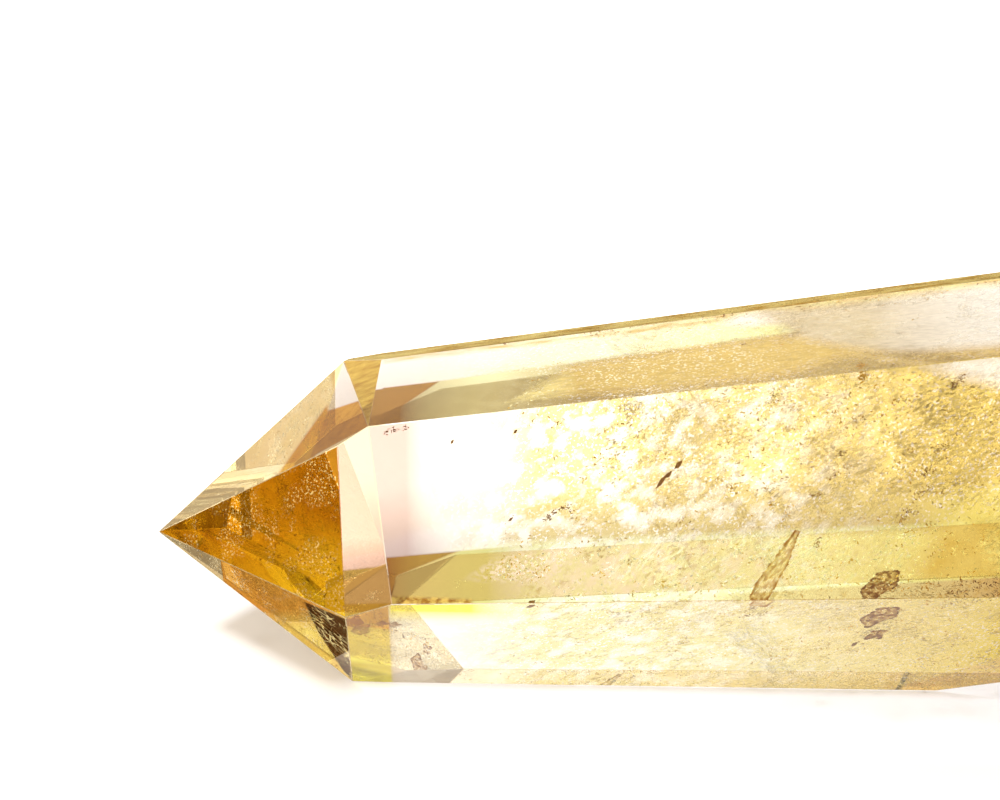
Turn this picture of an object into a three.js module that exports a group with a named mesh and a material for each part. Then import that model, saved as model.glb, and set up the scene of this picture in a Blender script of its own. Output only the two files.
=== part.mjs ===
// Polished yellow quartz point lying on its side, millimetres, +Z up, tip towards -X.
// One natural piece: a six-sided prism that widens towards its cut base, a ring of narrow
// shoulder facets, and a six-sided tip. Every face is flat, so the solid is worked out as the
// space behind all of its faces at once.

import * as THREE from "three";
import { ConvexGeometry } from "three/addons/geometries/ConvexGeometry.js";

// ---- driving dimensions ---------------------------------------------------------------
// "turn" is the way a face looks round the long axis, in degrees: 0 is the front (-Y),
// 90 up, 180 the back, 270 down. "slope" is how far it leans towards the tip (-X), in
// degrees. "reach" is how far it lies from the middle of the shoulder.

const shoulderToBase = 80.0;
const apexForward = 19.4;
const apexFrontward = 0.35;
const apexBelow = 2.7;

const bottomFace = { turn: 270.0, slope: 0.0, reach: 14.0 };
const lowerFrontFace = { turn: 330.3, slope: 2.9, reach: 16.6 };
const frontFace = { turn: 27.5, slope: 5.85, reach: 17.9 };
const topFace = { turn: 90.6, slope: 7.7, reach: 15.6 };
const topBackBevel = { turn: 106.0, slope: 7.3, reach: 15.2 };
const upperBackFace = { turn: 132.0, slope: 5.5, reach: 13.4 };
const lowerBackFace = { turn: 220.2, slope: 3.75, reach: 19.0 };

const tipFront = { turn: 23.6, slope: 41.3 };
const tipTop = { turn: 87.2, slope: 41.8 };
const tipUpperBack = { turn: 138.6, slope: 36.8 };
const tipLowerBack = { turn: 219.0, slope: 40.8 };
const tipLowerFrontTurn = 329.8;
const tipBottomTurn = 262.0;

const shoulderFront = { turn: 24.0, slope: 32.4 };
const shoulderTop = { turn: 92.0, slope: 21.6 };
const shoulderLowerFront = { turn: 330.4, slope: 4.4 };
const shoulderLowerBack = { turn: 227.7, slope: 23.3, reach: 13.45 };
const shoulderTopBackTurn = 106.0;

const baseRimBevel = 1.2;
const baseCorner = { turn: 302.0, slope: -8.0 };
const baseCornerStart = 58.0;

// ---- faces as planes ------------------------------------------------------------------

const degree = Math.PI / 180;

// Outward direction of a face from its turn and slope.
function facing(turn, slope) {
  const lean = slope * degree;
  const round = turn * degree;
  return new THREE.Vector3(
    -Math.sin(lean),
    -Math.cos(lean) * Math.cos(round),
    Math.cos(lean) * Math.sin(round),
  );
}

// A face at its own reach.
function faceAt(face) {
  return { normal: facing(face.turn, face.slope), reach: face.reach };
}

// A face through one corner.
function faceThrough(face, corner) {
  const normal = facing(face.turn, face.slope);
  return { normal, reach: normal.dot(corner) };
}

// A face of a given turn through two corners, the one nearer the tip first. Its slope follows.
function faceBetween(turn, nearTip, nearBase) {
  const along = nearBase.clone().sub(nearTip);
  const rise = facing(turn, 0).dot(along);
  const slope = Math.atan2(rise, along.x) / degree;
  return faceThrough({ turn, slope }, nearTip);
}

// The corner where three faces meet.
function cornerOf(first, second, third) {
  const matrix = new THREE.Matrix3().set(
    ...first.normal.toArray(),
    ...second.normal.toArray(),
    ...third.normal.toArray(),
  );
  if (Math.abs(matrix.determinant()) < 1e-6) {
    return null;
  }
  return new THREE.Vector3(first.reach, second.reach, third.reach).applyMatrix3(matrix.invert());
}

// ---- prism faces ----------------------------------------------------------------------

const bottom = faceAt(bottomFace);
const lowerFront = faceAt(lowerFrontFace);
const front = faceAt(frontFace);
const top = faceAt(topFace);
const bevel = faceAt(topBackBevel);
const upperBack = faceAt(upperBackFace);
const lowerBack = faceAt(lowerBackFace);
const prism = [bottom, lowerFront, front, top, bevel, upperBack, lowerBack];

// ---- tip and shoulder facets ----------------------------------------------------------
// All the tip faces meet at the apex. Each shoulder facet starts at the prism corner where
// it was ground, and the remaining tip faces run down to the corners those facets leave.

const apex = new THREE.Vector3(-apexForward, -apexFrontward, -apexBelow);
const tipFrontFace = faceThrough(tipFront, apex);
const tipTopFace = faceThrough(tipTop, apex);
const tipUpperBackFace = faceThrough(tipUpperBack, apex);
const tipLowerBackFace = faceThrough(tipLowerBack, apex);

const upperFrontCorner = cornerOf(front, top, tipTopFace);
const shoulderFrontFace = faceThrough(shoulderFront, upperFrontCorner);
const shoulderTopFace = faceThrough(shoulderTop, upperFrontCorner);

const frontCorner = cornerOf(front, lowerFront, shoulderFrontFace);
const shoulderLowerFrontFace = faceThrough(shoulderLowerFront, frontCorner);

const tipFrontCorner = cornerOf(tipFrontFace, shoulderFrontFace, shoulderLowerFrontFace);
const tipLowerFrontFace = faceBetween(tipLowerFrontTurn, apex, tipFrontCorner);

const footCorner = cornerOf(tipLowerFrontFace, shoulderLowerFrontFace, bottom);
const tipBottomFace = faceBetween(tipBottomTurn, apex, footCorner);

const tipTopCorner = cornerOf(tipTopFace, shoulderTopFace, tipUpperBackFace);
const bevelCorner = cornerOf(top, bevel, shoulderTopFace);
const shoulderTopBackFace = faceBetween(shoulderTopBackTurn, tipTopCorner, bevelCorner);
const shoulderLowerBackFace = faceAt(shoulderLowerBack);

const tip = [
  tipFrontFace,
  tipTopFace,
  tipUpperBackFace,
  tipLowerBackFace,
  tipBottomFace,
  tipLowerFrontFace,
];
const shoulder = [
  shoulderFrontFace,
  shoulderTopFace,
  shoulderTopBackFace,
  shoulderLowerFrontFace,
  shoulderLowerBackFace,
];

// ---- cut base -------------------------------------------------------------------------
// One flat polished cut with a narrow bevel round its rim, and one larger facet that takes
// off the lower front corner.

const base = { normal: new THREE.Vector3(1, 0, 0), reach: shoulderToBase };

function rimBevel(side) {
  const normal = side.normal.clone().add(base.normal);
  const width = normal.length();
  normal.normalize();
  return { normal, reach: (side.reach + base.reach - baseRimBevel) / width };
}

const baseCornerPlane = { normal: base.normal, reach: baseCornerStart };
const baseCornerPoint = cornerOf(lowerFront, bottom, baseCornerPlane);
const baseCornerFace = faceThrough(baseCorner, baseCornerPoint);
const foot = [base, baseCornerFace, ...prism.map(rimBevel)];

// ---- the solid behind all the faces ---------------------------------------------------

// Every corner that three faces make and that no other face cuts off.
function cornersBehind(faces) {
  const corners = [];
  for (let i = 0; i < faces.length; i += 1) {
    for (let j = i + 1; j < faces.length; j += 1) {
      for (let k = j + 1; k < faces.length; k += 1) {
        const point = cornerOf(faces[i], faces[j], faces[k]);
        if (point === null) {
          continue;
        }
        const inside = faces.every((face) => face.normal.dot(point) <= face.reach + 1e-6);
        const isNew = corners.every((corner) => corner.distanceTo(point) > 1e-3);
        if (inside && isNew) {
          corners.push(point);
        }
      }
    }
  }
  return corners;
}

const crystalGeometry = new ConvexGeometry(
  cornersBehind([...prism, ...shoulder, ...tip, ...foot]),
);

// Stand the crystal on the ground, centred.
crystalGeometry.computeBoundingBox();
const box = crystalGeometry.boundingBox;
crystalGeometry.translate(
  -(box.min.x + box.max.x) / 2,
  -(box.min.y + box.max.y) / 2,
  -box.min.z,
);

// ---- material and part ----------------------------------------------------------------

const yellowQuartz = new THREE.MeshStandardMaterial({
  name: "yellow_quartz",
  color: 0xe8c860,
  roughness: 0.05,
  metalness: 0.0,
  transparent: true,
  opacity: 0.55,
  flatShading: true,
});

const crystal = new THREE.Mesh(crystalGeometry, yellowQuartz);
crystal.name = "crystal";

const part = new THREE.Group();
part.name = "yellow_quartz_point";
part.add(crystal);

export default part;
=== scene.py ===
import math
import random

import bmesh
import bpy
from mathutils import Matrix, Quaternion, Vector, noise


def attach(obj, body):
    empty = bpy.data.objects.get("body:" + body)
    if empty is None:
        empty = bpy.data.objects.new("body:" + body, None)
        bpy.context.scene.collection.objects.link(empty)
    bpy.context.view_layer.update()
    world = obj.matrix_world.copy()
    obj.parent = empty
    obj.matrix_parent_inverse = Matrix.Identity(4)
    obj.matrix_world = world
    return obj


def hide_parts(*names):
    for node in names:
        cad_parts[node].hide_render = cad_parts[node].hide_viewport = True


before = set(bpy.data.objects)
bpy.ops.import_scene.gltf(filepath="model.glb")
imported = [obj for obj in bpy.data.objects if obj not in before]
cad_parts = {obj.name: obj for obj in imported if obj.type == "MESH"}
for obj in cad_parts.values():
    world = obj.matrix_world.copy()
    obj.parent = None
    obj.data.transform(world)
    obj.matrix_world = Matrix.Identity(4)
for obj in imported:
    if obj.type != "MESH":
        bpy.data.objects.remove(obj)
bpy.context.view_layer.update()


# ---- the crystal -------------------------------------------------------------------------
# One polished piece of clear yellow quartz. Its faces were ground flat and buffed, which
# left the edges between them very slightly rounded. Light passes straight through it.

EDGE_WEAR = 0.00012


class Value:
    """One socket of a material's node tree. Arithmetic on it adds Math nodes."""

    def __init__(self, tree, socket):
        self.tree = tree
        self.socket = socket

    def _math(self, operation, *inputs, clamped=False):
        node = self.tree.nodes.new("ShaderNodeMath")
        node.operation = operation
        node.use_clamp = clamped
        for slot, value in zip(node.inputs, inputs):
            if isinstance(value, Value):
                self.tree.links.new(value.socket, slot)
            else:
                slot.default_value = value
        return Value(self.tree, node.outputs[0])

    def __add__(self, other):
        return self._math("ADD", self, other)

    __radd__ = __add__

    def __mul__(self, other):
        return self._math("MULTIPLY", self, other)

    __rmul__ = __mul__

    def __sub__(self, other):
        return self._math("SUBTRACT", self, other)

    def __rsub__(self, other):
        return self._math("SUBTRACT", other, self)

    def __truediv__(self, other):
        return self._math("DIVIDE", self, other)

    def __pow__(self, other):
        return self._math("POWER", self, other)

    def __gt__(self, other):
        return self._math("GREATER_THAN", self, other)

    def __lt__(self, other):
        return self._math("LESS_THAN", self, other)

    def clamp(self):
        """This, held between 0 and 1."""
        return self._math("MULTIPLY", self, 1.0, clamped=True)

    def ramp(self, low, high):
        """0 where this is at low, 1 where it is at high, straight between."""
        scale = 1.0 / (high - low)
        return self._math("MULTIPLY_ADD", self, scale, -low * scale, clamped=True)


class Material:
    """A new material with no nodes yet, or another node tree with its nodes cleared."""

    def __init__(self, name, tree=None):
        if tree is None:
            self.made = bpy.data.materials.new(name)
            self.made.use_nodes = True
            tree = self.made.node_tree
        self.tree = tree
        self.tree.nodes.clear()

    def node(self, kind, settings=None, inputs=None, output=0):
        """Adds a node: settings first, then socket values or links. Returns one output."""
        node = self.tree.nodes.new(kind)
        for name, value in (settings or {}).items():
            setattr(node, name, value)
        for name, value in (inputs or {}).items():
            socket = node.inputs[name]
            if isinstance(value, Value):
                self.tree.links.new(value.socket, socket)
            else:
                socket.default_value = value
        return Value(self.tree, node.outputs[output]) if node.outputs else None

    def mixed(self, amount, first, second):
        """The first colour, turned into the second by an amount from 0 to 1."""
        first, second = (
            shade if isinstance(shade, Value) else (*shade, 1.0) for shade in (first, second)
        )
        return self.node(
            "ShaderNodeMix",
            {"data_type": "RGBA"},
            {"Factor": amount, 6: first, 7: second},
            output=2,
        )

    def noise(self, place, detail, scale=1.0):
        """Smooth noise from about 0.2 to 0.8, scale grains to the unit."""
        return self.node(
            "ShaderNodeTexNoise", inputs={"Vector": place, "Scale": scale, "Detail": detail}
        )

    def finished(self, look):
        """The material with one plain surface that has these values."""
        surface = self.node("ShaderNodeBsdfPrincipled", inputs=look)
        self.node("ShaderNodeOutputMaterial", inputs={"Surface": surface})
        return self.made


def facet_way(turn, slope):
    """Where a facet faces: turn degrees up from the front, slope degrees towards the tip."""
    turn, slope = math.radians(turn), math.radians(slope)
    return Vector(
        (
            -math.sin(slope),
            -math.cos(slope) * math.cos(turn),
            math.cos(slope) * math.sin(turn),
        )
    )


# the facets that are told apart by colour, each as its turn and slope in degrees
TIP_TOP = (87.2, 41.8)
TIP_FRONT = (23.6, 41.3)
TIP_LOWER_FRONT = (329.8, 40.8)
SHOULDER_TOP = (92.0, 21.6)
SHOULDER_FRONT = (24.0, 32.4)
SHOULDER_LOWER_FRONT = (330.4, 4.4)
TOP = (90.6, 7.7)
TOP_BACK_BEVEL = (106.0, 7.3)
FRONT = (27.5, 5.85)
LOWER_FRONT = (330.3, 2.9)
QUARTZ = {"Roughness": 0.0, "IOR": 1.55, "Transmission Weight": 1.0}


def polished_quartz():
    """Clear yellow glass. A facet that looks into stained quartz has a deeper colour; some also
    carry painted light, shade and glints.
    """
    m = Material("yellow_quartz")
    spot = m.node(
        "ShaderNodeVectorMath",
        {"operation": "SCALE"},
        {0: m.node("ShaderNodeTexCoord", output="Object"), "Scale": 1000.0},
    )
    x, y, z = (m.node("ShaderNodeSeparateXYZ", inputs={0: spot}, output=i) for i in range(3))
    facing = m.node("ShaderNodeNewGeometry", output="Normal")
    from_inside = m.node("ShaderNodeNewGeometry", output="Backfacing")
    known = {}

    def dot(value, way):
        return m.node(
            "ShaderNodeVectorMath", {"operation": "DOT_PRODUCT"}, {0: value, 1: way}, output=1
        )

    def on(facet):
        """1 where the surface faces within 5 degrees of a facet's way, 0 beyond 9."""
        if facet not in known:
            known[facet] = dot(facing, facet_way(*facet)).ramp(0.988, 0.996)
        return known[facet]

    def patch(facet, corners, blur=0.12):
        """1 inside a flat shape on one facet, its corners in mm."""
        shown = on(facet)
        middle = sum((Vector(corner) for corner in corners), Vector()) / len(corners)
        for start, end in zip(corners, corners[1:] + corners[:1]):
            inward = facet_way(*facet).cross(Vector(end) - Vector(start)).normalized()
            edge = inward.dot(Vector(start))
            if inward.dot(middle) < edge:
                inward, edge = -inward, -edge
            shown = shown * dot(spot, inward).ramp(edge - blur, edge + blur)
        return shown

    def below(facet, start, end, blur=0.1):
        """1 on one facet, on the lower side of a line through two places in mm."""
        down = facet_way(*facet).cross(Vector(end) - Vector(start)).normalized()
        if down.z > 0.0:
            down = -down
        edge = down.dot(Vector(start))
        return on(facet) * dot(spot, down).ramp(edge - blur, edge + blur)

    def grain(fineness, stretch, detail):
        """Noise with fineness grains to the mm, stretched along the crystal."""
        scale = (fineness / stretch, fineness, fineness)
        return m.noise(m.node("ShaderNodeMapping", inputs={"Vector": spot, "Scale": scale}), detail)

    def slanted(fineness, stretch, detail):
        """Noise like grain, stretched along a line that climbs towards the base."""
        turned = m.node(
            "ShaderNodeMapping",
            {"vector_type": "TEXTURE"},
            {
                "Vector": spot,
                "Rotation": (0.0, math.radians(-42.0), math.radians(-14.0)),
                "Scale": (stretch / fineness, 1.0 / fineness, 1.0 / fineness),
            },
        )
        return m.noise(turned, detail)

    def painted(colour, *coats):
        """A colour with coats over it, each a mask and its colour."""
        for shown, coat in coats:
            colour = mixed(shown, colour, coat)
        return colour

    mixed = m.mixed
    cloudy = grain(0.35, 1.3, 3.0).ramp(0.35, 0.65)
    streaks = grain(1.3, 6.0, 3.0).ramp(0.35, 0.65)
    clumps = slanted(0.30, 1.8, 2.0).ramp(0.42, 0.58)
    yellow_flecks = slanted(3.2, 2.6, 3.0).ramp(0.53, 0.59) * (0.2 + 0.8 * clumps)
    white_flecks = slanted(4.2, 1.3, 2.0).ramp(0.58, 0.63) * (1.0 - 0.6 * clumps)
    white_clumps = slanted(0.75, 1.7, 4.0).ramp(0.47, 0.66)
    white_clumps = white_clumps * (1.0 - x.ramp(-4.0, 20.0)) * (1.0 - on(TOP))
    fine = grain(3.2, 1.2, 2.0)
    # painted glints: gold and white sparkle painted into the tip facets' colour
    painted_glints = grain(5.0, 1.2, 2.0).ramp(0.58, 0.63) * slanted(0.40, 1.6, 2.0).ramp(0.50, 0.58)
    soot = fine.ramp(0.57, 0.63) * grain(0.5, 1.0, 1.0).ramp(0.48, 0.58)

    # the body: nearly clear at the shoulder, then yellow, deepest at the base
    depth = x.ramp(-4.0, 32.0)
    calm = x.ramp(-2.0, 16.0)
    front_band = below(FRONT, (-12.0, -21.2, 21.0), (48.0, -24.7, 24.9), 0.6)
    low_top = below(TOP, (-26.0, -7.7, 30.4), (20.0, -7.2, 36.0), 0.4)
    body = painted(
        mixed(x.ramp(-8.0, 26.0), (0.44, 0.31, 0.075), (0.295, 0.175, 0.013)),
        (front_band, mixed(depth, (0.80, 0.90, 0.38), (0.68, 0.68, 0.040))),
        (on(TOP), (0.37, 0.22, 0.035)),
        (low_top, mixed(x.ramp(-2.0, 14.0), (1.0, 1.0, 0.45), (0.60, 0.60, 0.10))),
        (on(LOWER_FRONT), mixed(depth, (0.69, 0.58, 0.17), (0.43, 0.235, 0.0005))),
        (
            yellow_flecks * (0.8 - 0.4 * low_top - 0.5 * calm).clamp(),
            mixed(depth, (0.34, 0.22, 0.028), (0.17, 0.08, 0.003)),
        ),
        (white_clumps * 0.8, (0.95, 0.90, 0.70)),
        (white_flecks * (0.85 - 0.6 * calm), (1.0, 1.0, 0.98)),
    )

    # the tip: each facet looks down a different depth of stained quartz, with painted glints over
    # it
    tip_pale = mixed(x.ramp(-42.0, -37.0), (0.86, 0.64, 0.27), (0.93, 0.80, 0.46))
    tip_brown = painted(
        mixed(cloudy, (0.17, 0.026, 0.00001), (0.40, 0.088, 0.00005)),
        ((x + 1.2 * (16.0 - z)).ramp(-38.0, -30.0) * 0.85, (0.64, 0.25, 0.0003)),
        (x.ramp(-38.0, -35.0) * z.ramp(18.0, 21.0), (0.17, 0.026, 0.00001)),
        (soot * 0.8, (0.06, 0.007, 0.00005)),
        (painted_glints * 0.75, (1.0, 0.66, 0.16)),
    )
    splinters = m.node(
        "ShaderNodeTexVoronoi",
        {"feature": "DISTANCE_TO_EDGE"},
        {
            "Vector": m.node(
                "ShaderNodeMapping",
                {"vector_type": "TEXTURE"},
                {
                    "Vector": spot,
                    "Rotation": (0.0, math.radians(35.0), 0.0),
                    "Scale": (1.5, 0.7, 0.6),
                },
            ),
            "Scale": 1.0,
        },
    )
    corner_crack = patch(
        TIP_LOWER_FRONT,
        [
            (-34.6, -16.5, 11.8), (-30.3, -20.4, 12.4), (-30.3, -13.6, 0.0),
            (-32.4, -14.6, 1.0), (-33.6, -14.8, 7.0),
        ],
        0.15,
    )
    tip_lower = painted(
        mixed((x - z).ramp(-45.0, -40.5), (0.80, 0.21, 0.008), (0.95, 0.66, 0.06)),
        # painted reflection: the lit floor beside the apex, mirrored in the lower tip facet
        (x < -43.1, (1.0, 0.95, 0.60)),
        (cloudy * 0.35, (0.50, 0.17, 0.01)),
        (painted_glints, (1.0, 0.9, 0.6)),
        (
            corner_crack,
            mixed(
                (splinters + 0.1 * cloudy).ramp(0.05, 0.11),
                (1.0, 0.80, 0.25), (0.012, 0.002, 0.0001),
            ),
        ),
    )

    # painted shade on the front facet beside the clear window: the dim room and the shaded floor
    # under the crystal seen through it, as brown and olive bands
    window_painted_shade = below(FRONT, (-26.44, -20.44, 19.26), (-11.98, -21.21, 21.0))
    window_painted_shade = window_painted_shade * (1.0 - x.ramp(-17.0, -10.0))
    shelf = below(FRONT, (-26.16, -22.41, 15.4), (-25.43, -21.36, 17.73))
    shelf = shelf * below(FRONT, (-25.43, -21.36, 17.73), (-19.97, -20.85, 19.92))
    brown = mixed(x.ramp(-26.4, -23.0), (0.085, 0.014, 0.0005), (0.155, 0.057, 0.002))
    olive = mixed(
        below(FRONT, (-24.95, -22.58, 15.48), (-20.17, -20.98, 19.63)),
        mixed(x.ramp(-26.4, -24.0), (0.54, 0.29, 0.05), (0.52, 0.38, 0.065)),
        mixed(x.ramp(-25.0, -19.0), (0.50, 0.41, 0.085), (0.48, 0.47, 0.075)),
    )
    # painted shade: a gold strip low on the front facet, where the floor under the crystal shows
    # through the bottom face
    gold_strip = on(FRONT) * (1.0 - z.ramp(15.9, 16.2)) * (1.0 - x.ramp(-18.6, -18.2))
    crumbs = patch(
        FRONT,
        [(-18.0, -21.3, 17.6), (-15.0, -20.9, 19.6), (-9.0, -21.2, 19.9), (-11.0, -22.3, 17.4)],
        0.6,
    )
    # painted light: a bright yellow strip, the lit floor behind seen through the lower front facet
    painted_yellow_glow = on(LOWER_FRONT) * z.ramp(11.6, 13.0)
    painted_yellow_glow = painted_yellow_glow * (1.0 - x.ramp(-18.5, -12.5)) * x.ramp(-26.4, -26.1)
    # painted shade: the shaded floor under the crystal, seen through the front half of the top
    # facet near the shoulder
    top_painted_shade = on(TOP) * (1.0 - y.ramp(-7.8, -7.5)) * (1.0 - x.ramp(-18.0, -8.0))
    low_shoulder = mixed(z.ramp(0.0, 6.0), (1.0, 1.0, 0.014), (0.58, 0.40, 0.010))
    strip_end = mixed(yellow_flecks, (0.62, 0.50, 0.11), (0.40, 0.26, 0.03))
    milk = mixed(streaks, (0.41, 0.32, 0.17), (0.34, 0.26, 0.12))

    colour = painted(
        mixed(x.ramp(-27.0, -25.5), (0.50, 0.36, 0.16), (0.95, 0.93, 0.85)),
        (on(FRONT) * (1.0 - x.ramp(-24.5, -16.5)), (0.27, 0.165, 0.14)),
        (on(TOP) * (1.0 - x.ramp(-22.0, -14.0)), (0.75, 0.60, 0.50)),
        ((x + 7.0 * slanted(0.3, 1.5, 4.0)).ramp(-20.0, -9.0), body),
        # the upper tip facet: pale, with a gold band, a painted white triangle where the bright
        # floor shows through it, and a painted brown one where the shaded floor under the crystal
        # shows through
        (on(TIP_TOP), mixed(cloudy, tip_pale, (0.84, 0.68, 0.27))),
        (
            patch(
                TIP_TOP,
                [
                    (-32.0, -4.6, 26.9), (-37.2, -10.4, 22.1), (-33.5, -12.8, 25.4),
                    (-31.4, -9.5, 27.3),
                ],
                0.3,
            ),
            mixed(cloudy, (0.33, 0.065, 0.0002), (0.50, 0.17, 0.0008)),
        ),
        # painted light: the bright floor seen through the facet
        (
            patch(TIP_TOP, [(-30.5, 1.1, 28.6), (-28.0, -14.6, 30.2), (-32.0, -6.0, 27.0)]),
            (0.50, 0.42, 0.36),
        ),
        (
            patch(TIP_TOP, [(-30.5, 1.1, 28.6), (-31.6, -3.1, 27.5), (-31.8, 0.4, 27.5)]),
            (0.70, 0.50, 0.14),
        ),
        # painted shade: the shaded floor under the crystal seen through the facet
        (
            patch(
                TIP_TOP,
                [
                    (-32.0, -6.0, 27.0), (-28.1, -9.2, 29.9), (-28.0, -14.6, 30.2),
                    (-33.7, -11.9, 25.2),
                ],
            ),
            mixed(streaks, (0.19, 0.037, 0.0003), (0.31, 0.075, 0.0008)),
        ),
        # the front and lower tip facets, and the dark corner under the shoulder
        (on(TIP_FRONT), tip_brown),
        (
            patch(TIP_FRONT, [(-32.2, -13.2, 26.4), (-31.0, -13.6, 27.6), (-30.6, -15.5, 23.6)]),
            mixed(cloudy, (0.06, 0.010, 0.00005), (0.10, 0.020, 0.0001)),
        ),
        (on(TIP_LOWER_FRONT), tip_lower),
        # the shoulder facets
        (on(SHOULDER_TOP), mixed(streaks, (0.36, 0.17, 0.005), (0.17, 0.05, 0.0008))),
        (on(SHOULDER_FRONT), (0.55, 0.26, 0.17)),
        (
            below(SHOULDER_FRONT, (-30.84, -18.56, 16.62), (-26.6, -20.73, 18.51)),
            (0.24, 0.095, 0.006),
        ),
        (
            below(SHOULDER_FRONT, (-30.86, -18.99, 15.59), (-26.64, -20.66, 18.6)),
            (0.76, 0.34, 0.045),
        ),
        (
            below(SHOULDER_FRONT, (-30.89, -19.55, 14.25), (-26.64, -20.75, 18.39)),
            (0.36, 0.17, 0.035),
        ),
        (
            below(SHOULDER_FRONT, (-30.51, -20.1, 13.81), (-26.47, -22.25, 15.29)),
            (0.28, 0.11, 0.004),
        ),
        (
            on(SHOULDER_LOWER_FRONT) * (1.0 - x.ramp(-26.4, -26.1)),
            mixed((z + 1.5 * streaks).ramp(10.8, 12.2), low_shoulder, (0.43, 0.125, 0.0002)),
        ),
        # beside the edges of the clear window: painted shade where the dim room and the shaded
        # floor show through the facets, a painted yellow glow on the lower front facet, and white
        # crumbs
        (window_painted_shade, mixed(shelf, brown, olive)),
        (
            gold_strip,
            mixed(slanted(1.8, 1.5, 3.0).ramp(0.42, 0.58), (0.20, 0.06, 0.001), (0.80, 0.55, 0.05)),
        ),
        (painted_yellow_glow, mixed(z.ramp(12.2, 14.2), (1.0, 1.0, 0.6), (1.0, 0.88, 0.003))),
        (top_painted_shade, mixed(x.ramp(-25.0, -16.0), (0.14, 0.036, 0.0012), (1.0, 0.95, 0.30))),
        # painted shade: the same, carried on towards the shoulder
        (
            patch(TOP, [(-26.6, -7.5, 30.3), (-21.1, -7.7, 31.0), (-27.6, -14.6, 30.3)]),
            (0.15, 0.038, 0.0015),
        ),
        (crumbs * fine.ramp(0.50, 0.56), (1.0, 1.0, 0.9)),
        # the top back edge and a streaky strip below it, dark partly from brown specks and partly
        # as a painted dark reflection, then the deeper yellow and the milk at the base end
        (on(TOP_BACK_BEVEL), mixed(streaks, (0.30, 0.11, 0.003), (0.80, 0.55, 0.08))),
        (
            patch(
                TOP,
                [
                    (-26.8, -1.3, 30.1), (33.5, -2.0, 38.4), (48.0, -2.2, 40.4),
                    (48.0, -4.9, 40.2), (-26.7, -2.6, 30.2),
                ],
                0.3,
            )
            * (0.35 + 0.65 * streaks),
            (0.50, 0.26, 0.035),
        ),
        (
            patch(
                FRONT,
                [
                    (22.3, -25.2, 21.0), (25.1, -22.8, 26.1), (48.0, -24.0, 26.0),
                    (48.0, -27.5, 18.0), (20.0, -26.2, 17.8),
                ],
                2.2,
            ),
            mixed(cloudy, (0.62, 0.50, 0.05), (0.50, 0.34, 0.018)),
        ),
        (
            below(FRONT, (1.0, -24.8, 17.1), (30.6, -26.7, 20.0), 0.15) * x.ramp(2.0, 8.0),
            mixed(x.ramp(8.0, 33.0), strip_end, (0.22, 0.060, 0.0008)),
        ),
        (
            patch(
                TOP,
                [
                    (6.5, -3.6, 34.4), (9.0, -2.2, 34.9), (13.0, -3.2, 35.4),
                    (12.5, -5.2, 35.3), (8.5, -5.2, 34.7),
                ],
                0.6,
            ),
            (0.80, 0.72, 0.58),
        ),
        (
            patch(
                FRONT,
                [
                    (21.5, -15.6, 36.6), (48.0, -16.5, 39.6), (48.0, -20.0, 33.0),
                    (31.0, -18.4, 34.6), (26.5, -16.5, 36.0),
                ],
                1.0,
            )
            * (1.0 - 0.5 * yellow_flecks),
            (0.64, 0.60, 0.50),
        ),
        (
            patch(
                LOWER_FRONT,
                [
                    (24.0, -17.5, 1.0), (28.0, -19.0, 4.0), (33.0, -21.5, 7.5),
                    (48.0, -22.5, 8.5), (48.0, -16.0, -1.0), (24.0, -16.0, -1.0),
                ],
                0.8,
            )
            * (0.4 + 0.6 * streaks),
            (0.42, 0.19, 0.02),
        ),
        (
            patch(
                TOP,
                [
                    (10.0, -2.5, 34.0), (13.5, -9.0, 34.8), (22.0, -14.0, 35.9),
                    (48.0, -16.5, 39.6), (48.0, -4.0, 40.2),
                ],
                1.0,
            ),
            mixed(x.ramp(20.0, 33.0), milk, (0.62, 0.60, 0.55)),
        ),
    )

    # Light that enters takes the facet's colour, light that leaves doesn't. Lamp light goes
    # straight through, except under the tip and beside the floor.
    entering = m.node("ShaderNodeBsdfPrincipled", inputs={"Base Color": colour, **QUARTZ})
    leaving = m.node(
        "ShaderNodeBsdfPrincipled", inputs={"Base Color": (1.0, 1.0, 1.0, 1.0), **QUARTZ}
    )
    seen = m.node("ShaderNodeMixShader", inputs={0: from_inside, 1: entering, 2: leaving})
    under_tip = dot(facing, (-0.45, -0.20, -0.87)).ramp(0.66, 0.74) * (1.0 - from_inside)
    beside_floor = on(LOWER_FRONT) * (1.0 - from_inside) * (1.0 - z.ramp(0.2, 2.2))
    blocked = under_tip * (1.0 - x.ramp(-10.0, 6.0)) * y.ramp(-16.0, -12.5)
    open_light = m.node("ShaderNodeBsdfTransparent", inputs={"Color": (1.0, 1.03, 1.12, 1.0)})
    dim_light = m.node("ShaderNodeBsdfTransparent", inputs={"Color": (0.40, 0.37, 0.32, 1.0)})
    passing = m.node(
        "ShaderNodeMixShader",
        inputs={0: (blocked + 0.6 * beside_floor).clamp(), 1: open_light, 2: dim_light},
    )
    shadow_ray = m.node("ShaderNodeLightPath", output="Is Shadow Ray")
    inside = m.node(
        "ShaderNodeVolumeAbsorption",
        inputs={"Color": (0.94, 0.74, 0.0, 1.0), "Density": 2.5},
    )
    m.node(
        "ShaderNodeOutputMaterial",
        inputs={
            "Surface": m.node("ShaderNodeMixShader", inputs={0: shadow_ray, 1: seen, 2: passing}),
            "Volume": inside,
        },
    )
    return m.made


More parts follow.
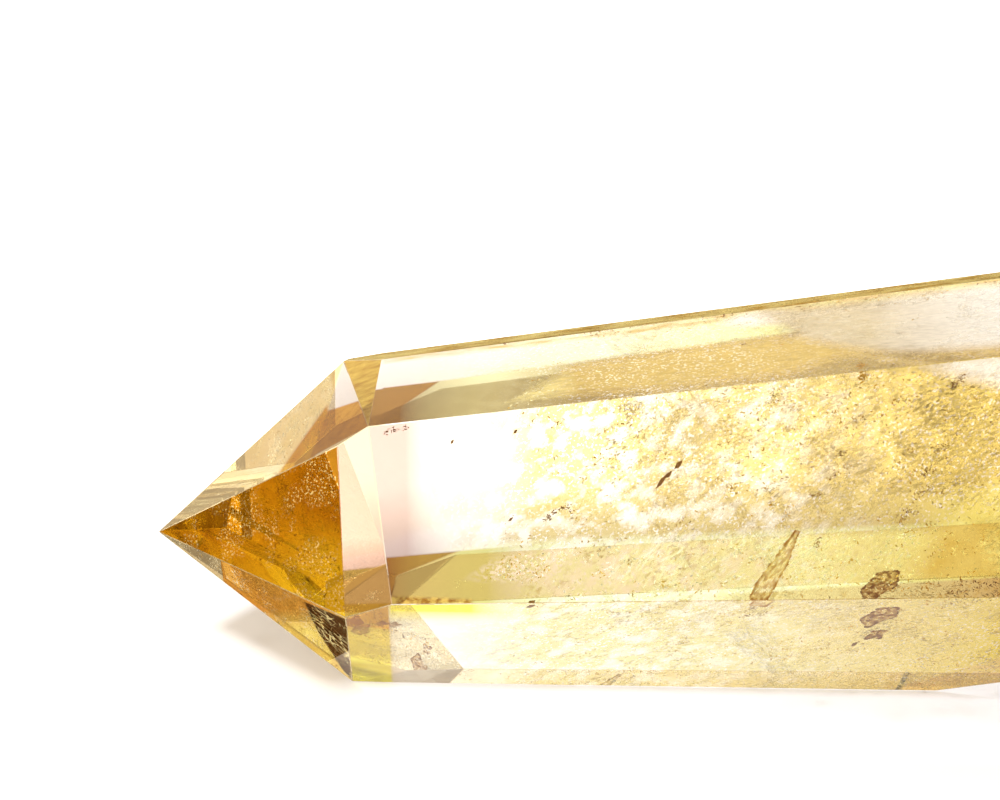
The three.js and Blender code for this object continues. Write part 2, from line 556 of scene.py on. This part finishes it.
def crystal_from(node):
    """The solid with every edge worn round, and its flat faces as places and directions."""
    mesh = bpy.data.meshes.new("crystal_body")
    shape = bmesh.new()
    shape.from_mesh(node.data)
    bmesh.ops.remove_doubles(shape, verts=shape.verts, dist=1e-6)
    bmesh.ops.dissolve_limit(
        shape, angle_limit=math.radians(0.05), verts=shape.verts, edges=shape.edges
    )
    faces = [(face.calc_center_median(), face.normal.copy()) for face in shape.faces]
    bmesh.ops.bevel(
        shape,
        geom=shape.edges,
        offset=EDGE_WEAR,
        offset_type="WIDTH",
        segments=2,
        profile=0.5,
        affect="EDGES",
        clamp_overlap=True,
    )
    shape.to_mesh(mesh)
    shape.free()
    body = bpy.data.objects.new("crystal_body", mesh)
    bpy.context.scene.collection.objects.link(body)
    return body, faces


crystal, crystal_faces = crystal_from(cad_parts["crystal"])
crystal.data.materials.append(polished_quartz())
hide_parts("crystal")
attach(crystal, "root")


# ---- veils -------------------------------------------------------------------------------
# Old cracks that healed while the quartz was still growing. Each is a thin wavy sheet of tiny
# pockets of fluid, cream white and patchy, and they crowd the crystal from its middle to its base.

MM = 0.001
SKIN = 0.25
CLEAR_END = -13.0
BASE_END = 49.0
WAVE = 0.7
HALF_WIDTH = 28.0
HEIGHT = 40.0
OVAL_POINTS = 28


def within(place, outline):
    """True where a flat place lies inside an outline."""
    inside = False
    for a, b in zip(outline, outline[1:] + outline[:1]):
        if (a[1] > place[1]) != (b[1] > place[1]):
            if place[0] < a[0] + (b[0] - a[0]) * (place[1] - a[1]) / (b[1] - a[1]):
                inside = not inside
    return inside


def from_rim(place, outline):
    """How far a flat place inside an outline is from it."""
    nearest = math.inf
    for a, b in zip(outline, outline[1:] + outline[:1]):
        a, b = Vector(a), Vector(b)
        share = (place - a).dot(b - a) / (b - a).length_squared
        nearest = min(nearest, (a + (b - a) * min(max(share, 0.0), 1.0) - place).length)
    return nearest


def sheet(shape, middle, long_way, facing, outline, cell, wave=WAVE):
    """Adds one thin wavy sheet. outline is in mm, along long_way and across it."""
    facing = Vector(facing).normalized()
    along = Vector(long_way) - facing * facing.dot(Vector(long_way))
    along.normalize()
    across = facing.cross(along)
    low = [min(point[i] for point in outline) for i in range(2)]
    steps = [math.ceil((max(point[i] for point in outline) - low[i]) / cell) for i in range(2)]
    corners = {}
    measure = shape.loops.layers.uv.get("sheet_mm") or shape.loops.layers.uv.new("sheet_mm")
    rim = shape.loops.layers.uv.get("rim_mm") or shape.loops.layers.uv.new("rim_mm")
    # each sheet of a piece starts at its own place in the noise, so that no two look alike
    apart = 7.0 * len(shape.faces) % 5000.0

    def corner(i, j):
        if (i, j) not in corners:
            flat = Vector(middle) + along * (low[0] + i * cell) + across * (low[1] + j * cell)
            lift = wave * (noise.noise(flat * 0.13) + 0.35 * noise.noise(flat * 0.5))
            corners[i, j] = shape.verts.new((flat + facing * lift) * MM)
        return corners[i, j]

    for i in range(steps[0]):
        for j in range(steps[1]):
            place = (low[0] + (i + 0.5) * cell, low[1] + (j + 0.5) * cell)
            if not within(place, outline):
                continue
            square = [(i, j), (i + 1, j), (i + 1, j + 1), (i, j + 1)]
            face = shape.faces.new([corner(*at) for at in square])
            face.smooth = True
            for loop, at in zip(face.loops, square):
                flat = Vector((low[0] + at[0] * cell, low[1] + at[1] * cell))
                loop[measure].uv = (flat.x + apart, flat.y)
                loop[rim].uv = (from_rim(flat, outline), 0.0)


def oval(length, width, ragged, dice):
    """A rough oval outline."""
    points = []
    for k in range(OVAL_POINTS):
        turn = math.tau * k / OVAL_POINTS
        reach = 0.5 * (1.0 + ragged * dice.uniform(-1.0, 1.0))
        points.append((length * reach * math.cos(turn), width * reach * math.sin(turn)))
    return points


def inclusion(name, shape, material, shades=True):
    """Turns a finished shape into one piece that lies inside the crystal."""
    for point, outward in crystal_faces:
        bmesh.ops.bisect_plane(
            shape,
            geom=shape.verts[:] + shape.edges[:] + shape.faces[:],
            plane_co=point - outward * SKIN * MM,
            plane_no=outward,
            clear_outer=True,
        )
    mesh = bpy.data.meshes.new(name)
    shape.to_mesh(mesh)
    shape.free()
    piece = bpy.data.objects.new(name, mesh)
    bpy.context.scene.collection.objects.link(piece)
    piece.data.materials.append(material)
    piece.visible_shadow = shades
    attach(piece, "root")


def spot_inside(dice, from_x, to_x, gap=1.0):
    """A random place inside the crystal, gap mm or more under its faces."""
    while True:
        place = (
            dice.uniform(from_x, to_x),
            dice.uniform(-HALF_WIDTH, HALF_WIDTH),
            dice.uniform(gap, HEIGHT),
        )
        if all(
            (Vector(place) * MM - point).dot(outward) < -gap * MM
            for point, outward in crystal_faces
        ):
            return place


def on_sheet(m):
    """The place on a sheet in mm, and how far that is from its rim."""
    rim = m.node("ShaderNodeUVMap", {"uv_map": "rim_mm"})
    return (
        m.node("ShaderNodeUVMap", {"uv_map": "sheet_mm"}),
        m.node("ShaderNodeSeparateXYZ", inputs={0: rim}),
    )


def sheet_grain(m, spot, grains, stretch, detail):
    """Noise in mm along a sheet, with its grains stretch times longer than wide."""
    scale = (grains / stretch, grains, 1.0)
    return m.noise(m.node("ShaderNodeMapping", inputs={"Vector": spot, "Scale": scale}), detail)


def veil_material(name, haze, crisp, fineness):
    """A patchy, see-through white sheet. haze is its even part, crisp its broken fine part."""
    m = Material(name)
    spot, rim = on_sheet(m)
    rough = sheet_grain(m, spot, 0.6, 1.6, 2.0)
    fine = sheet_grain(m, spot, fineness, 2.4, 2.0)
    patches = rough.ramp(0.36, 0.60)
    wisps = fine.ramp(0.52, 0.62)
    stain = 1.0 - fine.ramp(0.38, 0.48)
    ragged = (rim * 0.5 + rough * 1.6).ramp(0.8, 1.5)
    cover = (ragged * (haze * (0.4 + patches) + crisp * wisps * (0.25 + patches))).clamp()
    return m.finished(
        {
            "Base Color": m.mixed(stain, (1.0, 0.98, 0.90), (0.74, 0.62, 0.30)),
            "Roughness": 0.45,
            "IOR": 1.2,
            "Alpha": cover,
        }
    )


def add_veils(name, count, start, start_spread, lengths, reach, climb, widths, cell, material):
    """Scatters veils that get longer the further they lie from the clear end."""
    shape = bmesh.new()
    for _ in range(count):
        nearest = CLEAR_END + start + start_spread * dice.random() ** 2
        place = spot_inside(dice, nearest, BASE_END)
        length = min(dice.uniform(*lengths), (place[0] - CLEAR_END) * reach)
        facing = (dice.gauss(-0.3, 0.4), dice.gauss(-0.8, 0.3), dice.gauss(0.5, 0.4))
        long_way = (1.0, dice.gauss(0.0, 0.3), dice.gauss(*climb))
        outline = oval(length, length * dice.uniform(*widths), 0.3, dice)
        sheet(shape, place, long_way, facing, outline, cell)
    inclusion(name, shape, material, shades=False)


dice = random.Random(11)
add_veils(
    "veils", 26, 3.0, 14.0, (10.0, 24.0), 2.4, (0.5, 0.3), (0.5, 0.9), 1.0,
    veil_material("healed_veil", 0.16, 0.40, 2.6),
)
add_veils(
    "small_veils", 90, 2.0, 12.0, (3.0, 9.0), 2.2, (0.7, 0.4), (0.4, 0.8), 0.7,
    veil_material("broken_veil", 0.08, 1.0, 4.2),
)


# ---- milky cloud -------------------------------------------------------------------------
# Denser healed cracks just below the top face: a milky white one near the base with a bright
# frosty lower edge, and a long thin cream one between it and the shoulder.


def crack(shape, corners, facing, cell=0.3, wave=0.2):
    """Adds a sheet whose outline runs through these places, in mm."""
    facing = Vector(facing).normalized()
    places = [Vector(corner) for corner in corners]
    middle = sum(places, Vector()) / len(places)
    along = places[0] - middle
    along -= facing * facing.dot(along)
    along.normalize()
    across = facing.cross(along)
    outline = [((p - middle).dot(along), (p - middle).dot(across)) for p in places]
    sheet(shape, middle, along, facing, outline, cell, wave)


def cloud_material(name, colour, cover):
    """A soft, streaky, nearly white sheet that thins out towards its rim."""
    m = Material(name)
    spot, rim = on_sheet(m)
    streaks = sheet_grain(m, spot, 2.6, 2.6 / 0.7, 4.0)
    fade = (rim * 0.35 + streaks * 0.6).ramp(0.2, 0.9)
    return m.finished(
        {
            "Base Color": (*colour, 1.0),
            "Roughness": 0.5,
            "IOR": 1.2,
            "Alpha": fade * (0.35 + streaks) * cover,
        }
    )


MILKY_CLOUD = [
    (13.8, -6.4, 33.3), (18.4, -10.3, 33.1), (23.8, -11.8, 33.0), (28.5, -13.7, 33.5),
    (31.1, -14.7, 32.1), (38.0, -12.0, 33.5), (40.0, -4.0, 35.5), (33.4, -1.7, 35.9),
    (24.1, -2.1, 34.6), (14.5, -1.8, 33.3),
]
FROSTY_EDGE = [
    (16.8, -9.6, 33.4), (20.5, -11.9, 33.8), (23.9, -14.0, 34.2), (27.3, -15.2, 34.4),
    (30.8, -16.0, 33.2), (30.8, -16.9, 32.8), (27.2, -16.2, 34.0), (23.8, -15.0, 33.9),
    (20.4, -12.9, 33.5), (17.2, -10.6, 33.2),
]
PALE_VEIL = [
    (-15.0, -13.0, 31.0), (-9.0, -7.6, 31.8), (2.0, -6.5, 33.3), (14.0, -7.5, 34.9),
    (20.0, -12.0, 35.5), (12.0, -14.8, 34.4), (-2.0, -14.3, 32.6),
]
for name, corners, facing, cell, material, shades in (
    (
        "milky_cloud", MILKY_CLOUD, (-0.13, -0.05, 0.99), 0.3,
        cloud_material("milky_veil", (0.93, 0.90, 0.82), 1.0), True,
    ),
    (
        "frosty_edge", FROSTY_EDGE, (-0.5, -0.3, 0.8), 0.2,
        cloud_material("frost", (1.0, 1.0, 0.98), 1.2), True,
    ),
    (
        "pale_veil", PALE_VEIL, (-0.13, 0.0, 0.99), 0.4,
        cloud_material("pale_veil", (1.0, 0.93, 0.62), 0.75), False,
    ),
):
    shape = bmesh.new()
    crack(shape, corners, facing, cell)
    inclusion(name, shape, material, shades)


# ---- flecks ------------------------------------------------------------------------------
# Tiny flat cracks and pockets, well under a millimetre, that turn in all directions and shine
# white or gold. Most lie in short slanting trails.

TO_LAMP = (-0.42, -0.25, 0.85)
TO_FRONT = (-0.2, -0.8, 0.5)
TRAILS = 1000


def fleck(shape, place, size, facing, dice):
    """Adds one flat fleck with three to five corners, about twice as long as wide."""
    facing = Vector(facing).normalized()
    along = facing.orthogonal().normalized()
    along.rotate(Quaternion(facing, dice.uniform(0.0, math.tau)))
    across = facing.cross(along)
    sides = dice.choice((3, 4, 4, 5))
    start = dice.uniform(0.0, 1.0)
    corners = []
    for k in range(sides):
        turn = math.tau * (k + start + dice.uniform(-0.25, 0.25)) / sides
        out = along * math.cos(turn) * size * 0.9 + across * math.sin(turn) * size * 0.4
        corners.append(shape.verts.new((Vector(place) + out) * MM))
    shape.faces.new(corners)


def trail(shape, middle, long_way, length, width, count, size, dice, facing=TO_FRONT):
    """Scatters flecks thickly about the middle of a slanting line."""
    long_way = Vector(long_way).normalized()
    for _ in range(count):
        place = Vector(middle) + long_way * dice.gauss(0.0, length * 0.3)
        place += Vector([dice.gauss(0.0, width * 0.3) for _ in range(3)])
        turned = [dice.gauss(mean, 0.5) for mean in facing]
        fleck(shape, place, size * dice.uniform(0.4, 1.4) ** 1.5, turned, dice)


def fleck_material(name, colour, metallic, roughness):
    """One colour that is lighter on some flecks than on others."""
    m = Material(name)
    shade = m.noise(m.node("ShaderNodeTexCoord", output="Object"), 2.0, 900.0)
    varied = m.node(
        "ShaderNodeVectorMath", {"operation": "SCALE"}, {0: colour, "Scale": 0.6 + 0.7 * shade}
    )
    return m.finished({"Base Color": varied, "Metallic": metallic, "Roughness": roughness})


bright = bmesh.new()
gold = bmesh.new()
dark = bmesh.new()
for k in range(TRAILS):
    place = spot_inside(dice, CLEAR_END + 20.0 * dice.random() ** 2, BASE_END - 0.5)
    way = (1.0, dice.gauss(0.0, 0.4), dice.gauss(0.6, 0.35))
    trail(bright, place, way, dice.uniform(1.0, 5.0), 0.8, dice.randint(3, 12), 0.17, dice, TO_LAMP)
    if k % 2 == 0:
        trail(gold, place, way, dice.uniform(1.0, 4.0), 0.6, dice.randint(3, 9), 0.16, dice)
    if k % 20 == 0:
        trail(dark, place, way, 1.5, 0.5, dice.randint(1, 5), 0.12, dice)
white_shine = fleck_material("bright_fleck", (1.0, 0.99, 0.93), 0.0, 0.3)
gold_shine = fleck_material("gold_fleck", (0.80, 0.55, 0.16), 0.5, 0.3)
iron_stain = fleck_material("iron_fleck", (0.30, 0.14, 0.03), 0.0, 0.5)
inclusion("bright_flecks", bright, white_shine)
inclusion("gold_flecks", gold, gold_shine)
inclusion("dark_flecks", dark, iron_stain)


# ---- long fracture -----------------------------------------------------------------------
# A straight healed fracture near the front face that slants up towards the base. Iron in it is
# brown and gold. It is widest, and its rim darkest, at the lower end.


def stained_material(name, pale, dark, body, rim_width, grains, stretch):
    """Iron-stained crack: pale and see-through inside, darker and denser along its rim."""
    m = Material(name)
    spot, rim = on_sheet(m)
    grain = sheet_grain(m, spot, grains, stretch, 4.0)
    edge = 1.0 - (rim + 0.5 * rim_width * (grain - 0.5)).ramp(0.3 * rim_width, rim_width)
    ragged = (rim + 0.5 * (grain - 0.62)).ramp(0.0, 0.06)
    stain = (0.45 * edge + grain.ramp(0.42, 0.58) * 0.85).clamp()
    cover = (body * (0.4 + 1.2 * grain.ramp(0.38, 0.62)) + edge * (1.0 - body)).clamp()
    return m.finished(
        {"Base Color": m.mixed(stain, pale, dark), "Roughness": 0.35, "Alpha": ragged * cover}
    )


FRACTURE_WAY = (-0.12, -0.85, 0.51)
FRACTURE = [
    (7.6, -23.1, 15.6), (8.0, -23.0, 17.0), (9.3, -22.3, 18.7), (10.7, -21.5, 20.3),
    (12.0, -20.8, 22.0), (12.6, -20.9, 21.8), (11.6, -22.0, 19.2), (10.5, -22.8, 17.2),
    (9.4, -23.5, 15.6),
]
shape = bmesh.new()
crack(shape, FRACTURE, FRACTURE_WAY, 0.12, 0.1)
inclusion(
    "long_fractures",
    shape,
    stained_material(
        "iron_in_fracture", (0.88, 0.62, 0.14), (0.42, 0.18, 0.012), 0.5, 0.34, 3.4, 3.0
    ),
    shades=False,
)


# ---- angular flakes ----------------------------------------------------------------------
# Flat angular plates of brown iron oxide in healed cracks, close to the front edge. They are
# thin, see-through brown, and dark and gold at their edges.

FLAKE_DEPTH = -17.9
FLAKES = [
    [
        (18.9, 13.2), (20.6, 15.3), (21.9, 15.6), (22.8, 15.4), (22.6, 13.6), (21.4, 13.0),
        (19.8, 11.4),
    ],
    [(19.5, 9.5), (20.4, 11.3), (22.1, 11.5), (21.4, 9.7)],
    [(19.2, 8.6), (19.9, 9.1), (19.8, 8.8)],
]
shape = bmesh.new()
for flake in FLAKES:
    crack(shape, [(x, FLAKE_DEPTH, z) for x, z in flake], (-0.05, -1.0, 0.05), 0.12, 0.1)
inclusion(
    "angular_flakes",
    shape,
    stained_material("brown_plate", (0.84, 0.45, 0.07), (0.30, 0.10, 0.006), 0.8, 0.3, 3.0, 2.0),
    shades=False,
)


# ---- single specks -----------------------------------------------------------------------
# Clusters of iron specks, gold sparkles and white pockets that stand apart from the trails:
# along the edges, in the tip and on the ends of the fracture.


def slit(shape, start, end, width):
    """Adds one dark pointed slit between two places."""
    start, end = Vector(start), Vector(end)
    side = (end - start).cross(Vector(FRACTURE_WAY)).normalized() * width
    ring = [
        start,
        start.lerp(end, 0.35) + side,
        start.lerp(end, 0.8) + side * 0.6,
        end,
        start.lerp(end, 0.55) - side * 0.8,
    ]
    shape.faces.new([shape.verts.new(place * MM) for place in ring])


def add_clusters(shape, clusters, facing=TO_FRONT):
    """Adds a short trail of flecks at each place. A cluster is places, spread, count, size."""
    for places, spread, count, size in clusters:
        for place in places:
            trail(shape, place, (0.8, -0.2, 0.6), spread, spread * 0.5, count, size, dice, facing)


brown = bmesh.new()
for start, end, width in (
    ((-1.1, -19.1, 25.5), (0.1, -18.5, 26.9), 0.22),
    ((-0.1, -18.6, 26.4), (0.5, -18.4, 27.1), 0.2),
    ((0.7, -18.3, 27.2), (1.5, -18.0, 28.0), 0.26),
    ((-14.9, -19.2, 22.3), (-14.4, -19.1, 22.7), 0.14),
    ((-14.3, -15.5, 29.7), (-13.9, -15.4, 30.1), 0.16),
    ((-20.2, -15.4, 28.6), (-19.9, -15.2, 29.0), 0.14),
    ((-13.4, -22.8, 15.1), (-12.4, -22.6, 15.6), 0.28),
    ((18.2, -20.6, 8.6), (18.8, -20.4, 9.4), 0.25),
):
    slit(brown, start, end, width)
add_clusters(
    brown,
    [
        ([(8.0, -23.2, 15.4), (7.6, -23.0, 14.2), (8.9, -23.3, 14.6)], 1.2, 58, 0.10),
        ([(27.3, -16.5, 35.5), (26.8, -16.6, 35.0)], 0.9, 68, 0.11),
        ([(-25.4, -14.6, 29.8), (-24.5, -14.6, 29.9), (-26.2, -14.4, 29.5)], 0.8, 20, 0.12),
        ([(-10.5, -19.3, 23.3), (-11.2, -19.5, 22.8), (-9.6, -19.2, 23.6)], 1.0, 31, 0.12),
        ([(-14.9, -19.2, 22.5), (-14.8, -18.8, 20.5), (-11.4, -21.3, 12.8)], 1.3, 14, 0.09),
        (
            [(14.2, -19.0, 24.6), (15.8, -18.3, 26.3), (16.6, -17.4, 28.2), (14.1, -21.9, 21.1)],
            1.2, 48, 0.11,
        ),
        (
            [(24.3, -20.0, 27.5), (25.2, -19.4, 29.6), (22.4, -21.5, 24.0), (23.5, -21.0, 25.8)],
            1.8, 60, 0.11,
        ),
        ([(7.4, -6.9, 34.3), (8.2, -8.0, 34.4)], 0.9, 20, 0.10),
        (
            [(30.4, -17.1, 31.8), (29.7, -24.3, 17.8), (31.3, -17.2, 3.3), (27.5, -24.8, 17.4)],
            3.0, 51, 0.12,
        ),
        ([(-28.9, -18.4, 9.0), (-29.2, -18.9, 9.9)], 0.7, 14, 0.13),
    ],
)
# a row of small ones just under the top face, along its back edge
for _ in range(26):
    x = dice.uniform(-16.0, 46.0)
    add_clusters(brown, [([(x, -1.2 - 0.012 * x, 32.6 + 0.125 * x)], 2.2, 7, 0.16)])
inclusion("brown_specks", brown, iron_stain)

sparkles = bmesh.new()
add_clusters(
    sparkles,
    [
        ([(-44.9, -5.5, 11.9)], 0.9, 30, 0.34),
        ([(-29.7, -18.7, 16.0), (-27.6, -20.5, 15.0), (-29.6, -19.8, 13.0)], 1.6, 40, 0.15),
        ([(-47.8, -4.2, 11.2), (-46.4, -4.8, 11.0)], 1.0, 12, 0.14),
        ([(-14.6, -19.6, 17.0), (-12.6, -20.0, 18.0)], 3.6, 70, 0.13),
        ([(-19.5, -20.6, 16.3)], 1.2, 14, 0.07),
        ([(-3.7, -14.6, 31.9), (10.7, -15.3, 33.8), (2.0, -15.5, 32.0)], 2.4, 60, 0.17),
    ],
    TO_LAMP,
)
inclusion("sparkles", sparkles, white_shine)

shine = bmesh.new()
add_clusters(
    shine,
    [
        ([(-25.8, -18.9, 10.4), (-24.3, -18.1, 9.0), (-22.9, -17.4, 7.6)], 1.2, 16, 0.15),
        ([(18.6, -14.3, 34.6)], 1.2, 30, 0.2),
        ([(-14.8, -19.6, 17.6), (-12.0, -20.2, 17.2)], 3.0, 50, 0.14),
    ],
)
inclusion("gold_sparkles", shine, gold_shine)


# ---- floor -------------------------------------------------------------------------------
# A plain white floor, a hair below the resting face so that light gets under the crystal. Behind
# the crystal it glows: painted light, in place of lamp light that the crystal's shadow dims there.

FLOOR_HEIGHT = -5e-5
FLOOR_FRONT = -0.075
FLOOR_REACH = 3.0


def stage_sheet(name, corners, material):
    """A four-cornered sheet that stands by the crystal and isn't part of it."""
    mesh = bpy.data.meshes.new(name)
    mesh.from_pydata(corners, [], [(0, 1, 2, 3)])
    piece = bpy.data.objects.new(name, mesh)
    bpy.context.scene.collection.objects.link(piece)
    piece.data.materials.append(material)
    return piece


def floor_paint():
    """Matt white with painted light glowing behind the crystal's front edge, and brown far behind
    it.
    """
    m = Material("floor_white")
    place = m.node("ShaderNodeTexCoord", output="Object")
    x, y = (m.node("ShaderNodeSeparateXYZ", inputs={0: place}, output=i) for i in range(2))
    aside = (x * x) ** 0.5 / y
    far = y.ramp(0.20, 0.26) * (1.0 - aside.ramp(0.28, 0.40))
    painted_glow = m.node(
        "ShaderNodeVectorMath",
        {"operation": "SCALE"},
        {0: (1.1, 1.1, 1.1), "Scale": y.ramp(0.012, 0.034) * (1.0 - far)},
    )
    return m.finished(
        {
            "Base Color": m.mixed(far, (0.85, 0.85, 0.85), (0.12, 0.08, 0.04)),
            "Roughness": 1.0,
            "Specular IOR Level": 0.0,
            "Emission Color": painted_glow,
            "Emission Strength": 1.0,
        }
    )


stage_sheet(
    "floor",
    [
        (-FLOOR_REACH, FLOOR_FRONT, FLOOR_HEIGHT), (FLOOR_REACH, FLOOR_FRONT, FLOOR_HEIGHT),
        (FLOOR_REACH, FLOOR_REACH, FLOOR_HEIGHT), (-FLOOR_REACH, FLOOR_REACH, FLOOR_HEIGHT),
    ],
    floor_paint(),
)


# ---- black cards -------------------------------------------------------------------------
# Two small black cards left of the crystal, one upright and one lying on the floor, that the
# camera doesn't see. The polished tip mirrors them, which keeps the floor's glare off it. The
# flat one is painted shade: a dark patch on the floor around the tip that only reflections show.

LOW_CARD_HEIGHT = -4e-5

card_black = Material("card_black").finished(
    {"Base Color": (0.02, 0.015, 0.01, 1.0), "Roughness": 1.0, "Specular IOR Level": 0.0}
)
upright = stage_sheet(
    "black_card",
    [(-0.11, -0.09, 0.0), (-0.11, 0.0, 0.0), (-0.11, 0.0, 0.03), (-0.11, -0.09, 0.03)],
    card_black,
)
# painted shade: dark floor around the tip, seen only in reflections
flat = stage_sheet(
    "floor_shade_card",
    [
        (-0.075, -0.035, LOW_CARD_HEIGHT), (-0.0335, -0.035, LOW_CARD_HEIGHT),
        (-0.0335, 0.02, LOW_CARD_HEIGHT), (-0.075, 0.02, LOW_CARD_HEIGHT),
    ],
    card_black,
)
for card in (upright, flat):
    card.visible_camera = False
    card.visible_diffuse = False
    card.visible_shadow = False
flat.visible_transmission = False


# ---- light -------------------------------------------------------------------------------
# Soft studio light: a bright low backdrop, a dimmer warm room, and one large soft lamp up
# and to the left that lights the floor and throws the soft shadow.

BACKDROP = (1.3, 1.3, 1.3)
ROOM_TINT = (1.0, 0.80, 0.60)
LAMP_PLACE = (-0.53, 0.05, 1.05)
LAMP_WIDTH = 0.2
LAMP_WATTS = 12.8

world = bpy.data.worlds.new("studio")
bpy.context.scene.world = world
world.use_nodes = True
w = Material("studio", world.node_tree)
direction = w.node("ShaderNodeTexCoord")
x, y, z = (w.node("ShaderNodeSeparateXYZ", inputs={0: direction}, output=i) for i in range(3))
width = (x * x + y * y) ** 0.5


def up(low, high):
    """0 below one height over the horizon and 1 above the other, in degrees."""
    return (z / width).ramp(math.tan(math.radians(low)), math.tan(math.radians(high)))


def towards_back(near, far):
    """1 within near degrees of straight behind the crystal, 0 beyond far degrees."""
    return (y / width).ramp(math.cos(math.radians(far)), math.cos(math.radians(near)))


ahead = towards_back(66, 74)
beside = towards_back(126, 134)
to_right = (x / width).ramp(-0.16, 0.16)
far_right = (x > 0) * (1.0 - towards_back(108, 116))
near_left = (x < 0) * (1.0 - ahead)
side_light = beside * (0.45 + 0.5 * far_right + 0.25 * near_left)
behind_camera = (1.0 - beside) * (to_right * 1.15 + (1.0 - to_right) * 0.6)
walls = ahead * 0.42 + side_light + behind_camera
ceiling = 0.68 + 0.4 * up(50, 66)
above_walls = up(38, 42)
grey = ceiling * above_walls + walls * (1.0 - above_walls)
room = w.node("ShaderNodeVectorMath", {"operation": "SCALE"}, {0: ROOM_TINT, "Scale": grey})
to_left = -1.0 * x / width
gap = to_left.ramp(0.22, 0.32) * (1.0 - to_left.ramp(0.70, 0.78)) * (1.0 - up(20, 24))
backdrop = (1.0 - up(25, 28)) * ahead * (1.0 - gap)
w.node(
    "ShaderNodeOutputWorld",
    inputs={
        "Surface": w.node(
            "ShaderNodeBackground",
            inputs={"Color": w.mixed(backdrop, room, BACKDROP), "Strength": 1.0},
        )
    },
)

lamp_data = bpy.data.lights.new("softbox", "AREA")
lamp_data.shape = "DISK"
lamp_data.size = LAMP_WIDTH
lamp_data.energy = LAMP_WATTS
lamp = bpy.data.objects.new("softbox", lamp_data)
lamp.location = LAMP_PLACE
lamp.rotation_euler = (-lamp.location).to_track_quat("-Z", "Y").to_euler()
lamp.visible_glossy = False
lamp.visible_transmission = False
lamp.visible_camera = False
bpy.context.scene.collection.objects.link(lamp)


# ---- camera ------------------------------------------------------------------------------
# A long lens that looks down on the crystal by 30 degrees from the front, so that its long
# edges stay nearly parallel. Light may pass through many facets and veils before it gets there.

CAMERA_PLACE = (-0.02287, -0.240325, 0.163224)
LOOKS_DOWN = 30.0
LOOKS_RIGHT = 1.8626

camera_data = bpy.data.cameras.new("camera")
camera_data.lens = 100.0
camera_data.sensor_width = 36.0
camera = bpy.data.objects.new("camera", camera_data)
camera.location = CAMERA_PLACE
camera.rotation_euler = (math.radians(90.0 - LOOKS_DOWN), 0.0, math.radians(-LOOKS_RIGHT))
bpy.context.scene.collection.objects.link(camera)
bpy.context.scene.camera = camera

scene = bpy.context.scene
scene.view_settings.view_transform = "Standard"
scene.cycles.max_bounces = 10
scene.cycles.transmission_bounces = 10
scene.cycles.glossy_bounces = 10
scene.cycles.diffuse_bounces = 1
scene.cycles.transparent_max_bounces = 32
scene.cycles.caustics_refractive = True
scene.cycles.caustics_reflective = True
scene.cycles.use_denoising = True
